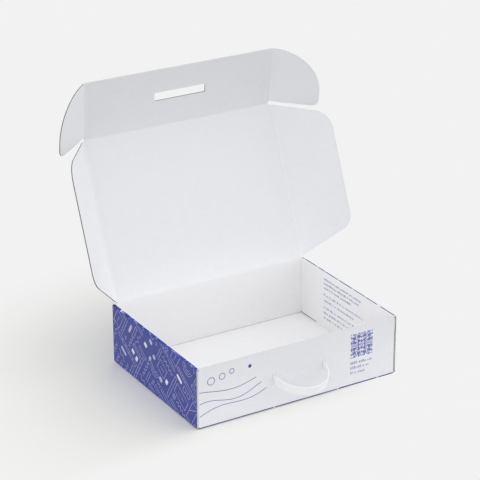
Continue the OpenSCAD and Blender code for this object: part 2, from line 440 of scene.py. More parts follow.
whiteInside = claycoatedLiner("clay-coated liner, inner side", "#f8f9fc", "#f6f7fa")
trayInside = claycoatedLiner("clay-coated liner, inner side of the tray", "#f9f9fa", "#f7f7f8")
turnedLiner = claycoatedLiner("clay-coated liner, printed side turned in", "#f4f4f5", "#f2f2f3")
whiteOutside = claycoatedLiner("clay-coated liner, printed side", "#eff0f4", "#edeef2")
# a grey copy of the inner liner: painted shade along the back wall's bottom crease
creaseShadeLiner = claycoatedLiner("clay-coated liner, dulled where it is scored", "#c4c5ca", "#bebfc4")
blueInk = offsetInk("offset ink, violet blue", "#3e4793", "#434c98")
# a lighter, brighter copy of the blue for the left rolled top: painted light where it faces up
litRollInk = offsetInk("offset ink, blue on the rolled edge", "#2f46b8", "#364dbd")
deepInk = offsetInk("offset ink, two lays on the rolled edge", "#1e2778", "#252f80")
rimInk = offsetInk("offset ink, violet blue on the right rolled edge", "#2b3488", "#323b8e")
fleckInk = offsetInk("offset ink, pale bits of pattern on the rolled edge", "#8c9be0", "#94a2e4")
lineInk = offsetInk("offset ink, pale lines left in the blue", "#d0d1f4", "#cacbf0")
bareSpots = claycoatedLiner("bare liner left in the print", "#e8e8ee", "#e4e4ea")
tintInk = offsetInk("offset ink, light tint", "#b4b7d9", "#bdbfdd")
fineInk = offsetInk("offset ink, fine blue lines", "#3a4394", "#404a9a")
tileInk = offsetInk("offset ink, blue of the tile", "#3f4bac", "#4652b2")
paleInk = offsetInk("offset ink, thin lay of the small print", "#9496bc", "#999bc0")
# the print's blue darkened: real ink on the front's bottom edge, with painted contact shade where it meets
# the floor
edgeInkAndShade = offsetInk("offset ink, pressed dark on the front edge", "#262b78", "#2e3380")
kraft = recycledFluting("recycled fluting", "#b09e8a", "#cabcaa")
# a dark copy of the fluting: painted shade on cut edges, those of the lid, the tuck flap and the left flaps
shadedCut = recycledFluting("recycled fluting, painted dark as cut edges in shade", "#3e342e", "#50443c")
# a pale copy of the fluting: painted light on the right flaps' cut edges and on the left wall's front end
litCut = recycledFluting("recycled fluting, painted pale as cut edges in the light", "#c4c1bf", "#d6d4d2")
slitShade = recycledFluting("recycled fluting, in a narrow slit", "#3e3028", "#524238")
polythene = mouldedPolythene("moulded polythene")
print("materials made:", len(bpy.data.materials))


# Objects

def makePiece(name, sheet, material, body, replaces=False, blend=None, sharp=32, rawMaterial=kraft):
    mesh = bpy.data.meshes.new(name)
    mesh.from_pydata([p * mm for p in sheet["points"]], [], sheet["faces"])
    mesh.materials.append(material)
    if sheet["raw"]:
        mesh.materials.append(rawMaterial)
    for face in sheet["raw"]:
        mesh.polygons[face].material_index = 1
    layer = mesh.uv_layers.new(name="blank")
    for loop in mesh.loops:
        layer.data[loop.index].uv = sheet["blank"][loop.vertex_index]
    shape = bmesh.new()
    shape.from_mesh(mesh)
    bmesh.ops.remove_doubles(shape, verts=shape.verts, dist=1e-6)
    bmesh.ops.recalc_face_normals(shape, faces=shape.faces)
    shape.to_mesh(mesh)
    shape.free()
    mesh.shade_smooth()
    mesh.set_sharp_from_angle(angle=math.radians(sharp))
    piece = bpy.data.objects.new(name, mesh)
    bpy.context.scene.collection.objects.link(piece)
    if blend:
        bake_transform(piece)
    else:
        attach(piece, body)
    if replaces:
        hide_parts(body)


def makePieces(body, parts, replaces=False, rawMaterial=kraft):
    # several pieces on one body, each named for it
    for name, (sheet, material) in parts.items():
        makePiece(body + "_" + name, sheet, material, body, replaces, rawMaterial=rawMaterial)


def makeBoard(name, panel, outlines, outside=whiteOutside, lips=(), cut=shadedCut, pressed=0):
    # a free panel of board: two liners and the fluted paper between them
    inner, outer, fluting = newSheet(), newSheet(), newSheet()
    addSlab(inner, panel, outlines, innerLiner)
    addSlab(outer, panel, outlines, outerLiner)
    for u0, u1, edge, toward in lips:
        addLip(inner, outer, panel, u0, u1, edge, toward)
    if pressed:
        # the die pressed the inner liner over part of the cut edge
        addStroke(inner, panel, outlines[0], False, 2 * board["lipProud"], (half - pressed, half))
    addMedium(fluting, panel, outlines)
    # the fluting and the raw cut faces take cut, by default the dark copy that paints shade
    makePieces(name, {"inner_liner": (inner, whiteInside), "outer_liner": (outer, outside),
                      "fluting": (fluting, cut)}, True, cut)


def makeCrease(name, hinge, run, first, second, carrier, start, end, outside=whiteOutside, steps=12):
    # the scored band between a flap and its carrier; first and second are (direction away from it, inside)
    reach = board["creaseHalf"]
    stations = []
    for k in range(steps + 1):
        t = k / steps
        point = hinge + first[0] * (reach * (1 - t) ** 2) + second[0] * (reach * t ** 2)
        inside = (first[1] * (1 - t) + second[1] * t).normalized()
        crushed = (1 - board["creaseCrush"]) * math.exp(-((t - 0.5) / board["crushWide"]) ** 2)
        stations.append((point, inside * (1 - crushed)))
    held = board["creaseHeld"]
    blend = (carrier, name, (hinge + first[0] * held) * mm, (hinge + second[0] * held) * mm)
    for part, layer, material in (("inner", scoredInner, whiteInside), ("outer", scoredOuter, outside)):
        sheet = newSheet()
        addSweep(sheet, stations, run, start, end, layer)
        sheet["raw"] = []   # a crease's ends are pressed shut, so that no brown shows there
        makePiece(name + "_crease_" + part, sheet, material, None, blend=blend, sharp=60)


# The tray

tray = {
    "cornerFlap": 72,     # length of the flaps inside the double walls
    "cornerFlapGap": 1.5,  # left free above and below them
    "tab": 44,            # length of each locking tab
    "tabInset": 42,       # from the inner panel's end to its tab
    "tabPlay": 0.25,      # left free round it in its slot
    "lifted": 1.0,        # how far an inner side panel's edge stands off the floor beside its tabs
    "shadedStrip": 0.45,     # height of the dark strip above that edge: the raw board's brown with painted shade of the gap under it
    "inkedRoll": 9,       # steps of each rolled top, from outside, that carry the print
    "rollEnd": 5,         # steps of it that run on to the side wall's raw ends
    "endLip": (6, 68),    # heights between which the right wall's raw end is covered by its liners
    "endPale": 1.8,       # width of the left wall's raw end, painted pale as if lit
    "endShade": 0.75,     # width of the outer part of the right wall's end that is painted dark as shade
    "endSlit": (1.95, 1.45),  # where the front wall stands off that end, from the box's side; painted shadow fills that slit
    "endFilm": 0.03,      # how far the painted shade on that end stands off the ink round it
}
handle = {
    "pitch": 80,          # between the middles of its two slots
    "bow": 42,            # how far the strap stands out from the wall
    "droop": 14,          # degrees that it hangs below level
    "strapWide": 13.5,
    "strapThick": 1.8,
    "edgeRadius": 0.7,
    "slotWide": 4.6,
    "slotPlay": 1.5,      # left free above and below the strap
    "slotRadius": 0.4,
    "headTall": 21,
    "headDeep": 5,
    "headThick": 3,
    "headRadius": 0.9,
    "neck": 3,            # from the wall's inner side to each head
    "intoHead": 1,        # how far the strap runs into each head
}
foldOut = board["bendInside"] + board["thick"]
wallThick = 3 * board["thick"] + 2 * board["gap"]
endHalf = halfW - board["thick"] - board["gap"]
rollHalf = halfD - board["thick"] - board["gap"]
innerHalf = halfW - wallThick
wallHalf = endHalf - foldOut  # half the front or back wall, up to its side creases
lidHalf = creaseAt["side_flap_right_crease"].x - board["creaseHalf"]  # half the lid, up to its side creases
floorPanel = panelAt(zAxis * half, xAxis, yAxis, zAxis)
frontPanel = panelAt(yAxis * (half - halfD), xAxis, zAxis, yAxis)
backPanel = panelAt(yAxis * (halfD - half), xAxis, zAxis, -yAxis)
sidePanels = {}
innerPanels = {}
for side in (-1, 1):
    out = xAxis * side
    sidePanels[side] = panelAt(out * (halfW - half), zAxis, yAxis, -out)
    innerPanels[side] = panelAt(out * (innerHalf + half), zAxis, yAxis, out)


def tabSpans():
    first = tray["tabInset"] - rollHalf
    last = rollHalf - tray["tabInset"] - tray["tab"]
    return [(start, start + tray["tab"]) for start in (first, last)]


def floorOutlines():
    play = tray["tabPlay"]
    outlines = [rectangle(foldOut - halfW, foldOut - halfD, halfW - foldOut, halfD - foldOut)]
    for side in (-1, 1):
        x0, x1 = sorted((side * (innerHalf - play), side * (innerHalf + board["thick"] + play)))
        outlines += [rectangle(x0, y0 - play, x1, y1 + play) for y0, y1 in tabSpans()]
    return outlines


def endOutlines(slotted):
    # front or back wall in X and Z; the back wall ends below the lid's scored band
    shoulder = topZ - board["thick"]
    right = [(wallHalf, foldOut), (wallHalf, shoulder), (endHalf, shoulder), (endHalf, topZ)]
    if not slotted:
        right += [(lidHalf, topZ), (lidHalf, creaseAt["lid_crease"].z - board["creaseHalf"])]
    outlines = [[Vector((-wallHalf, foldOut))] + [Vector(p) for p in right]
                + [Vector((-x, z)) for x, z in reversed(right[1:])]]
    if slotted:
        tall = handle["strapWide"] / 2 + handle["slotPlay"]
        wide = handle["slotWide"] / 2
        z = creaseAt["handle_swing"].z
        for x in (-handle["pitch"] / 2, handle["pitch"] / 2):
            outlines.append(rectangle(x - wide, z - tall, x + wide, z + tall, handle["slotRadius"]))
    return outlines


def innerOutline():
    # inner side panel in Z and Y, with its two locking tabs pointing down into the floor
    low = board["thick"] + tray["lifted"]
    tabLow = tray["tabPlay"]
    points = [(topZ - foldOut, -rollHalf), (topZ - foldOut, rollHalf), (low, rollHalf)]
    for y0, y1 in reversed(tabSpans()):
        points += [(low, y1), (tabLow, y1), (tabLow, y0), (low, y0)]
    points.append((low, -rollHalf))
    return [[Vector(p) for p in points]]


def bottomCrease(out, reach, first=0, last=90, steps=8):
    # the crease where the floor turns up into a wall, or the part of it between two angles
    centre = out * (reach - foldOut) + zAxis * foldOut
    return arcStations(centre, bendMid, -zAxis, out, first, last, steps)


def rollStations(side):
    # middle of the board over the rolled top, from the outer panel to the inner one
    top = zAxis * (topZ - foldOut)
    out = xAxis * side
    return (arcStations(out * (halfW - foldOut) + top, bendMid, out, zAxis, 0, 90)
            + arcStations(out * (innerHalf + foldOut) + top, bendMid, out, zAxis, 90, 180))


def makeTray():
    inner, printed, white, turned, fluting, creaseShadeSheet = (newSheet() for _ in range(6))
    rolled = {side: newSheet() for side in (-1, 1)}

    def addPanel(panel, outlines, outerSheet):
        addSlab(inner, panel, outlines, innerLiner)
        addSlab(outerSheet, panel, outlines, outerLiner)
        addMedium(fluting, panel, outlines)

    def addBend(stations, run, start, end, outerSheet):
        for sheet, layer in ((inner, innerLiner), (fluting, core), (outerSheet, outerLiner)):
            addSweep(sheet, stations, run, start, end, layer)

    addPanel(floorPanel, floorOutlines(), printed)
    addPanel(frontPanel, endOutlines(True), white)
    addPanel(backPanel, endOutlines(False), printed)
    addLip(inner, white, frontPanel, -endHalf, endHalf, topZ, 1)
    for u0, u1 in ((-endHalf, -lidHalf), (lidHalf, endHalf)):
        addLip(inner, white, backPanel, u0, u1, topZ, 1)
    endLip = [rectangle(tray["endLip"][0], -halfD - board["lipProud"], tray["endLip"][1], -halfD)]
    addSlab(inner, sidePanels[1], endLip, (-half, half))

    for end in (-1, 1):
        # crease between the floor and the front or back wall
        addBend(bottomCrease(yAxis * end, halfD), xAxis, -wallHalf, wallHalf, printed)
        for side in (-1, 1):
            # corner flap inside the double wall, on its upright crease
            low = board["thick"] + tray["cornerFlapGap"]
            high = topZ - board["thick"] - tray["cornerFlapGap"]
            corner = xAxis * side * wallHalf + yAxis * end * (halfD - foldOut)
            addBend(arcStations(corner, bendMid, yAxis * end, xAxis * side, 0, 90), zAxis, low, high, white)
            root = xAxis * side * (endHalf - half) + yAxis * end * (halfD - foldOut)
            flap = panelAt(root, yAxis * -end, zAxis, xAxis * -side)
            addPanel(flap, [rectangle(0, low, tray["cornerFlap"], high)], white)

    for side in (-1, 1):
        addPanel(sidePanels[side], [rectangle(foldOut, -halfD, topZ - foldOut, halfD)], printed)
        addPanel(innerPanels[side], innerOutline(), turned)
        addBend(bottomCrease(xAxis * side, halfW), yAxis, -rollHalf, rollHalf, printed)
        roll = rollStations(side)
        inked = tray["inkedRoll"]
        for sheet, part, layer in ((inner, roll, innerLiner), (fluting, roll, core),
                                   (rolled[side], roll[:inked], outerLiner),
                                   (turned, roll[inked - 1:], outerLiner)):
            addSweep(sheet, part, yAxis, -rollHalf, rollHalf, layer)
        for end in (-1, 1):
            # the roll's outer part runs on to the raw end of the outer panel
            addBend(roll[:tray["rollEnd"]], yAxis, end * rollHalf, end * halfD, rolled[side])

    # a grey band in the back wall's bottom crease, inside: painted shade where the wall meets the floor
    addSweep(creaseShadeSheet, bottomCrease(yAxis, halfD), xAxis, -wallHalf, wallHalf,
             (half - board["film"], half + board["creaseShadeProud"]))
    makePieces("tray", {"back_crease_shade": (creaseShadeSheet, creaseShadeLiner)})
    makePieces("tray", {
        "inner_liner": (inner, trayInside), "printed_liner": (printed, blueInk),
        # the left rolled top takes the lighter blue, painted light
        "rolled_print_left": (rolled[-1], litRollInk), "rolled_print_right": (rolled[1], rimInk),
        "white_liner": (white, whiteOutside), "turned_liner": (turned, turnedLiner),
        "fluting": (fluting, kraft)}, True)


makeTray()
print("tray folded")


# The lid with its flaps

lid = {
    "deep": 233,
}
sideFlap = {
    "wide": 87.5,
    "back": 36,           # how far its free edge starts from the lid's crease
    "front": 31,          # and ends from the tuck flap's
    "backRadius": 24,
    "frontRadius": 33,
    "creaseEnd": 0.95,    # left free at the rear end of its own crease, and twice that at the front
}
tuck = {
    "tall": 88,
    "slotLong": 83,
    "slotWide": 12.5,
    "slotUp": 40,         # from the crease to the slot
    "slotRadius": 2,
}
ear = {
    "wide": 73.5,
    "cut": 4,             # from the tuck flap's crease to its foot
    "wideAt": 26,         # how far up the tuck flap its rounded top starts
    "radius": 11,         # of the foot's corner
    "steps": 24,          # steps of the rounded top
}


def makeLid():
    reach = board["creaseHalf"]
    makeBoard("lid", lidPanel, [rectangle(-lidHalf, reach, lidHalf, lid["deep"] - reach)], blueInk)
    makeCrease("lid", creaseAt["lid_crease"], xAxis, (-zAxis, -yAxis), (lidUp, lidPanel["inside"]), "tray",
               -lidHalf, lidHalf, blueInk)


def makeTuck():
    reach = board["creaseHalf"]
    side = creaseAt["ear_right_crease"].x - reach
    low, high = tuck["slotUp"], tuck["slotUp"] + tuck["slotWide"]
    slot = rectangle(-tuck["slotLong"] / 2, low, tuck["slotLong"] / 2, high, tuck["slotRadius"])
    inset = tuck["slotLong"] / 2 - tuck["slotRadius"]
    makeBoard("tuck_flap", tuckPanel, [rectangle(-side, reach, side, tuck["tall"]), slot],
              lips=[(-side, side, tuck["tall"], 1), (-inset, inset, high, -1)])
    makeCrease("tuck_flap", creaseAt["tuck_crease"], xAxis, (-lidUp, lidPanel["inside"]),
               (tuckUp, tuckPanel["inside"]), "lid", -side, side)


def sideFlapOutline():
    # a side flap outward from its crease and up along the lid
    reach = board["creaseHalf"]
    wide, back, creaseEnd = sideFlap["wide"], sideFlap["back"], sideFlap["creaseEnd"]
    front = lid["deep"] - sideFlap["front"]
    end = lid["deep"] - 2 * creaseEnd
    low = creaseEnd + (back - creaseEnd) / wide * reach
    high = end - (end - front) / wide * reach
    corners = [(reach, low, 0), (wide, back, sideFlap["backRadius"]), (wide, front, sideFlap["frontRadius"]),
               (reach, high, 0)]
    return roundedOutline(corners, steps=14)


def earOutline():
    # an ear outward from its crease and up along the tuck flap, its top a quarter of an ellipse
    reach = board["creaseHalf"]
    wide, cut, wideAt = ear["wide"], ear["cut"], ear["wideAt"]
    foot = roundedOutline([(reach, cut, 0), (wide, cut, ear["radius"]), (wide, wideAt, 0)], steps=12)
    rise = tuck["tall"] - wideAt
    turns = [math.acos(reach / wide) * k / ear["steps"] for k in range(1, ear["steps"] + 1)]
    return foot + [Vector((wide * math.cos(a), wideAt + rise * math.sin(a))) for a in turns]


def makeFlap(name, crease, side, carrier, carrierPanel, outline):
    # a flap with the scored band that joins it to its carrier; the outline starts and ends at that band
    panel = flapAt(crease, carrierPanel, side)
    low = outline[0].y
    high = tuck["tall"] if carrier == "tuck_flap" else outline[-1].y
    # the left flaps' cut edges take the dark copy as painted shade, the right ones the pale copy as painted
    # light
    makeBoard(name, panel, [outline], cut=shadedCut if side < 0 else litCut, pressed=board["pressed"])
    makeCrease(name, creaseAt[crease], carrierPanel["v"], (-xAxis * side, carrierPanel["inside"]),
               (panel["u"], panel["inside"]), carrier, low, high)


makeLid()
for side, hand in ((-1, "left"), (1, "right")):
    crease = "side_flap_" + hand + "_crease"
    makeFlap("lid_side_flap_" + hand, crease, side, "lid", lidPanel, sideFlapOutline())
makeTuck()
for side, hand in ((-1, "left"), (1, "right")):
    makeFlap("tuck_ear_" + hand, "ear_" + hand + "_crease", side, "tuck_flap", tuckPanel, earOutline())
print("lid and flaps made")


# The carry handle

def makeHandle():
    sheet = newSheet()
    tilt = Matrix.Rotation(math.radians(handle["droop"]), 3, "X")
    hinge = creaseAt["handle_swing"]
    span = handle["pitch"] / 2
    neck = half + handle["neck"] + handle["intoHead"]
    steps, neckSteps = 48, 4
    path = [(Vector((span, neck * (1 - k / neckSteps), 0)), xAxis) for k in range(neckSteps)]
    for k in range(steps + 1):
        a = math.pi * k / steps
        out = Vector((handle["bow"] * math.cos(a), -span * math.sin(a), 0)).normalized()
        path.append((Vector((span * math.cos(a), -handle["bow"] * math.sin(a), 0)), out))
    path += [(Vector((-span, neck * k / neckSteps, 0)), -xAxis) for k in range(1, neckSteps + 1)]
    section = centred(handle["strapThick"] / 2, handle["strapWide"] / 2, handle["edgeRadius"])
    addLoft(sheet, [[addPoint(sheet, hinge + tilt @ (point + out * s.x + zAxis * s.y), 0, 0) for s in section]
                    for point, out in path])
    makePiece("handle_strap", sheet, polythene, "handle", True, sharp=50)

    for name, x in (("left", -span), ("right", span)):
        head = bmesh.new()
        bmesh.ops.create_cube(head, size=1)
        size = Vector((handle["headThick"], handle["headDeep"], handle["headTall"]))
        middle = Vector((x, half + handle["neck"] + handle["headDeep"] / 2, 0))
        for vert in head.verts:
            vert.co = Vector(a * b for a, b in zip(vert.co, size)) + middle
        bmesh.ops.bevel(head, geom=head.edges, offset=handle["headRadius"], segments=3, profile=0.5,
                        affect="EDGES")
        block = newSheet()
        for vert in head.verts:
            addPoint(block, hinge + tilt @ vert.co, 0, 0)
        block["faces"] = [[v.index for v in face.verts] for face in head.faces]
        head.free()
        makePiece("handle_head_" + name, block, polythene, "handle", True, sharp=40)


makeHandle()
print("handle moulded")


# The print

motif = {
    "seed": 42,
    "tilt": 57,            # degrees that the pattern's grid is turned
    "cell": 12,
    "clear": 2.2,          # left free round each motif
    "shift": 0.8,          # how far a motif may stray from its cells
    "stroke": 0.5,
    # length and width of the blocks that motifs fill, in cells
    "blocks": [(1, 1), (2, 1), (2, 1), (3, 1), (3, 1), (4, 1), (5, 1), (2, 2), (3, 2)],
    "solidShare": 0.28,    # share of the motifs that are solid and bare
    "solids": [(13, 11), (15, 12), (9, 7), (8, 6), (25, 6), (16, 5), (12, 7)],  # their lengths and widths
    "solidRadii": [0.06, 0.49],  # radius of their corners, as a share of their width
    "zigzagStep": 3.6,     # length of each stroke of a zigzag
    "waveLength": 11,
    "wavePoints": 1.4,     # points drawn along each millimetre of a wave
    "proud": 0.03,         # thickness of the ink film, thicker than real so that it shows
    "margin": 1.2,         # left free at the side and back walls' upright edges
    "topMargin": 1,        # and at the back wall's top and the lid's sides and front
    "floorMargin": 6,      # and at the floor's sides
}
inkFilm = (-half - motif["proud"], -half + board["film"])


def addInked(sheet, panel, u0, v0, u1, v1, layer=inkFilm):
    # a rectangle of ink on a panel
    addSlab(sheet, panel, [rectangle(u0, v0, u1, v1)], layer)


def clipLine(points, closed, window):
    # the parts of a line that lie inside the window (u0, v0, u1, v1)
    u0, v0, u1, v1 = window
    if all(u0 <= p.x <= u1 and v0 <= p.y <= v1 for p in points):
        return [(points, closed)]
    parts = []
    running = False
    for a, b in zip(points, points[1:] + (points[:1] if closed else [])):
        enter, leave = 0.0, 1.0
        step = b - a
        outside = False
        for start, move, low, high in ((a.x, step.x, u0, u1), (a.y, step.y, v0, v1)):
            if abs(move) < 1e-9:
                outside = outside or not low <= start <= high
                continue
            near, far = sorted(((low - start) / move, (high - start) / move))
            enter, leave = max(enter, near), min(leave, far)
        if outside or enter >= leave:
            running = False
            continue
        if enter > 0 or not running:
            parts.append(([a + step * enter], False))
        parts[-1][0].append(a + step * leave)
        running = leave == 1
    return parts


def rowOfPoints(long, rise, count, swing):
    # count steps along a motif, each moved across it by swing(k) times rise
    return [([(long * (k / count - 0.5), rise * swing(k)) for k in range(count + 1)], False)]


def motifLines(kind, long, wide):
    # the lines of one motif, drawn about its own middle in a space of long by wide
    l, w = long / 2, wide / 2
    bar = (centred(l, w * 0.5), True)
    if kind == "bar":
        return [bar]
    if kind == "capsule":
        return [(centred(l, w * 0.6, w * 0.59), True)]
    if kind == "ladder":
        rungs = [-l + long * k / 5 for k in range(1, 5)]
        return [bar] + [([(x, -w * 0.5), (x, w * 0.5)], False) for x in rungs]
    if kind == "zigzag":
        strokes = max(4, round(long / motif["zigzagStep"]))
        return rowOfPoints(long, w * 0.55, strokes, lambda k: 1 if k % 2 else -1)
    if kind == "wave":
        count = max(16, round(long * motif["wavePoints"]))
        turns = 2 * math.pi * long / motif["waveLength"]
        return rowOfPoints(long, w * 0.55, count, lambda k: math.sin(turns * k / count))
    if kind == "rails":
        return [([(-l, w * s), (l, w * s)], False) for s in (-0.45, 0.45)]
    if kind == "ring":
        return [(circleAround(0, 0, w * 0.75), True), (circleAround(0, 0, w * 0.35, 14), True)]
    if kind == "square":
        return [(centred(w * 0.75, w * 0.75, w * 0.15), True)]
    if kind == "cross":
        return [([(-w * 0.7, 0), (w * 0.7, 0)], False), ([(0, -w * 0.7), (0, w * 0.7)], False)]
    if kind == "frame":
        return [(centred(l, w * 0.8), True), ([(-l * 0.5, 0), (l * 0.5, 0)], False)]
    if kind == "fold":
        return [(centred(l, w * 0.7), True), ([(-l, w * 0.7), (l * 0.2, -w * 0.7)], False)]
    return [(arcAround(0, -w * 0.5, w * share, 0, 180), False) for share in (0.45, 0.8, 1.15)]


motifKinds = {
    "single": ["ring", "square", "cross", "zigzag"],
    "row": ["bar", "capsule", "zigzag", "wave", "rails", "bar", "ladder"],
    "broad": ["frame", "fold", "arches", "frame"],
}


def blockCells(taken, i, j, long, wide, upright):
    # the cells of a block of motifs that starts at i, j, cut to its free part
    cells = []
    for a in range(long):
        column = [(i + b, j + a) if upright else (i + a, j + b) for b in range(wide)]
        if any(c in taken for c in column):
            break
        cells += column
    return cells


def addMotifs(lines, spots, tints, panel, window, seed):
    # fills a window of the panel with motifs on a turned grid of cells
    pick = random.Random(seed)
    cell = motif["cell"]
    turn = Matrix.Rotation(math.radians(motif["tilt"]), 2)
    u0, v0, u1, v1 = window
    middle = Vector(((u0 + u1) / 2, (v0 + v1) / 2))
    reach = math.ceil(math.hypot(u1 - u0, v1 - v0) / 2 / cell) + 2
    taken = set()
    for i in range(-reach, reach + 1):
        for j in range(-reach, reach + 1):
            if (i, j) in taken:
                continue
            long, wide = pick.choice(motif["blocks"])
            upright = pick.random() < 0.5
            cells = blockCells(taken, i, j, long, wide, upright) or [(i, j)]
            wide = wide if len(cells) > 1 else 1
            long = len(cells) // wide
            taken.update(cells)
            stray = Vector((pick.uniform(-1, 1), pick.uniform(-1, 1))) * motif["shift"]
            centre = sum((Vector(c) for c in cells), Vector((0, 0))) / len(cells) * cell + stray
            quarter = Matrix.Rotation(math.pi / 2 if upright else 0, 2)
            kind = pick.choice(motifKinds["broad" if wide > 1 else "row" if long > 1 else "single"])
            room = (long * cell - motif["clear"], wide * cell - motif["clear"])
            fitting = [size for size in motif["solids"] if size[0] <= room[0] and size[1] <= room[1]]
            if fitting and pick.random() < motif["solidShare"]:
                length, width = pick.choice(fitting)
                outline = centred(length / 2, width / 2, width * pick.choice(motif["solidRadii"]))
                outline = [middle + turn @ (centre + quarter @ p) for p in outline]
                if all(u0 < p.x < u1 and v0 < p.y < v1 for p in outline):
                    addSlab(pick.choice([spots, spots, tints]), panel, [outline], inkFilm)
                    continue
            for points, closed in motifLines(kind, *room):
                points = [middle + turn @ (centre + quarter @ Vector(p)) for p in points]
                for part, whole in clipLine(points, closed, window):
                    addStroke(lines, panel, part, whole, motif["stroke"], inkFilm)


def makePattern():
    # each printed panel has its own seed and the window (u0, v0, u1, v1) that the pattern fills
    margin, top, reach = motif["margin"], motif["topMargin"], board["creaseHalf"]
    across = halfW - foldOut - motif["floorMargin"]
    sideWindow = (foldOut, margin - halfD, topZ - foldOut, halfD - margin)
    windows = {
        "tray": [(sidePanels[-1], sideWindow), (sidePanels[1], sideWindow),
                 (backPanel, (margin - wallHalf, foldOut, wallHalf - margin, topZ - foldOut - top)),
                 (floorPanel, (-across, foldOut - halfD, across, halfD - foldOut))],
        "lid": [(lidPanel, (top - lidHalf, reach, lidHalf - top, lid["deep"] - reach - top))],
    }
    seed = motif["seed"]
    for body, printed in windows.items():
        lines, spots, tints = (newSheet() for _ in range(3))
        for panel, window in printed:
            addMotifs(lines, spots, tints, panel, window, seed)
            seed += 1
        makePieces(body, {"print_lines": (lines, lineInk), "print_spots": (spots, bareSpots),
                          "print_tints": (tints, tintInk)})


makePattern()

overCrease = {
    "seed": 7,
    "fleck": {-1: (1.2, 5), 1: (2.5, 9)},  # length of the bits of pattern on each rolled top
    "fleckSteps": [3, 4, 6, 8],  # and their width, in steps of the roll
    "between": {-1: (0.3, 4), 1: (12, 34)},  # length of plain ink left between them on each side
    "darkEnd": 6,          # length of dark ink at the left rolled top's rear end
    "darkRim": 1.1,        # width of dark ink along the left wall's rear edge
    "notch": (92, 96),     # bare bit across the left rolled top, along y
    "over": 0.02,          # how far the marks that cross those bits stand off them
    "worn": (9, 46),       # length of the stretches where the bottom crease has lost its ink
    "inked": (0.8, 4),     # and of the ink between them
    "wornAngles": (24, 40),  # part of that crease, in degrees from the floor
    "breaks": [(-41, 3), (63, 2.4), (129, 2.8)],  # where the front's bottom edge is bare, and how long
    "breakAngles": (20, 90),
    "bleed": 0.5,          # how far the ink runs up the front wall on its right
    "bleedFrom": 60,       # where that starts
}


def stretches(pick, start, end, marked, between):
    # lengths of crease with a mark, each followed by one without
    spans = []
    at = start + pick.uniform(*between)
    while at < end:
        stop = min(at + pick.uniform(*marked), end)
        spans.append((at, stop))
        at = stop + pick.uniform(*between)
    return spans


def makeCreasePrint():
    pick = random.Random(overCrease["seed"])
    pale, dark, worn, bare, edge = (newSheet() for _ in range(5))
    for side in (-1, 1):
        path = rollStations(side)[:tray["inkedRoll"]]
        marked, between = overCrease["fleck"][side], overCrease["between"][side]
        for start, end in stretches(pick, -rollHalf, rollHalf, marked, between):
            first = pick.randrange(len(path) - overCrease["fleckSteps"][0])
            last = first + pick.choice(overCrease["fleckSteps"])
            sheet = pick.choice([pale, dark, dark]) if side < 0 else bare
            addSweep(sheet, path[first:last + 1], yAxis, start, end, inkFilm)
        if side < 0:
            above = (inkFilm[0] - overCrease["over"], inkFilm[1])
            addSweep(bare, path[1:], yAxis, *overCrease["notch"], above)
            addSweep(dark, path, yAxis, rollHalf - overCrease["darkEnd"], rollHalf, above)
            addSweep(dark, path[:tray["rollEnd"]], yAxis, rollHalf, halfD, above)
            rim = halfD - overCrease["darkRim"]
            addInked(dark, sidePanels[side], foldOut, rim, topZ - foldOut, halfD)
        bend = bottomCrease(xAxis * side, halfW, *overCrease["wornAngles"], steps=2)
        for start, end in stretches(pick, -rollHalf, rollHalf, overCrease["worn"], overCrease["inked"]):
            addSweep(worn, bend, yAxis, start, end, inkFilm)
    # the print round the front's bottom crease, in the darker ink that adds painted contact shade
    bend = bottomCrease(-yAxis, halfD, *overCrease["breakAngles"], steps=5)
    at = -wallHalf
    for start, long in overCrease["breaks"] + [(wallHalf, 0)]:
        addSweep(edge, bend, xAxis, at, start, inkFilm)
        if at > overCrease["bleedFrom"]:
            addInked(edge, frontPanel, at, foldOut, start, foldOut + overCrease["bleed"])
        if long:
            addSweep(bare, bend, xAxis, start, start + long, inkFilm)
        at = start + long
    makePieces("tray", {"edge_flecks_pale": (pale, fleckInk), "edge_flecks_dark": (dark, deepInk),
                        "worn_crease": (worn, kraft), "bare_breaks": (bare, bareSpots),
                        "front_edge_ink_and_shade": (edge, edgeInkAndShade)})


makeCreasePrint()

frontPrint = {
    "seed": 5,
    "line": 0.85,          # width of the waves' and rings' lines
    "waveStep": 2,         # spacing of the points drawn along each wave
    "waveLeft": 0.5,       # left free at the wall's edge
    "waves": [             # height, swing, length, slope, phase and where it ends
        (16, 5, 19, 0.20, 0.4, -50),
        (31, 6, 17, 0.12, 1.2, -58),
        (50, 5, 21, 0.05, 2.2, -66),
    ],
    "rings": [(-138, 67, 5.4), (-121, 70, 4.4), (-106, 74, 3.4)],  # place across, height and radius
    "dot": (-78, 74, 2.6),
    "tile": 36,            # width of the square ornament
    "tileCells": 21,
    "tileFill": 0.92,      # share of a cell's width that is printed
    "tileAt": (102.7, 60.5),  # its middle
    "frontLeft": 84.5,     # where the front wall's rows of bars start
    "frontRows": [(32.6, 35), (25.2, 30), (17.8, 24)],  # height and length of each printed row
    "frontTall": 4.4,      # height of a full bar
    "frontBar": (0.9, 2.4),  # shortest and longest bar
    "frontGaps": (1.2, 1.2, 1.2, 3),  # between one bar and the next
    "rise": (0.5, 1),      # height of each bar, as a share of its row's
    "shortest": 0.6,       # a bar shorter than this is left out
    "insideEnd": 57,       # where the rows on the right inner wall end, along y
    "insideRows": [(78, 95), (71, 90), (64, 70), (53, 102), (44, 78), (33, 79), (24.5, 68),
                   (16.5, 53)],  # height and length of each of them
    "insideTall": 3.2,
    "insideBar": (1.2, 4),
    "insideGaps": (1.1, 1.1, 1.1, 3.6),
}


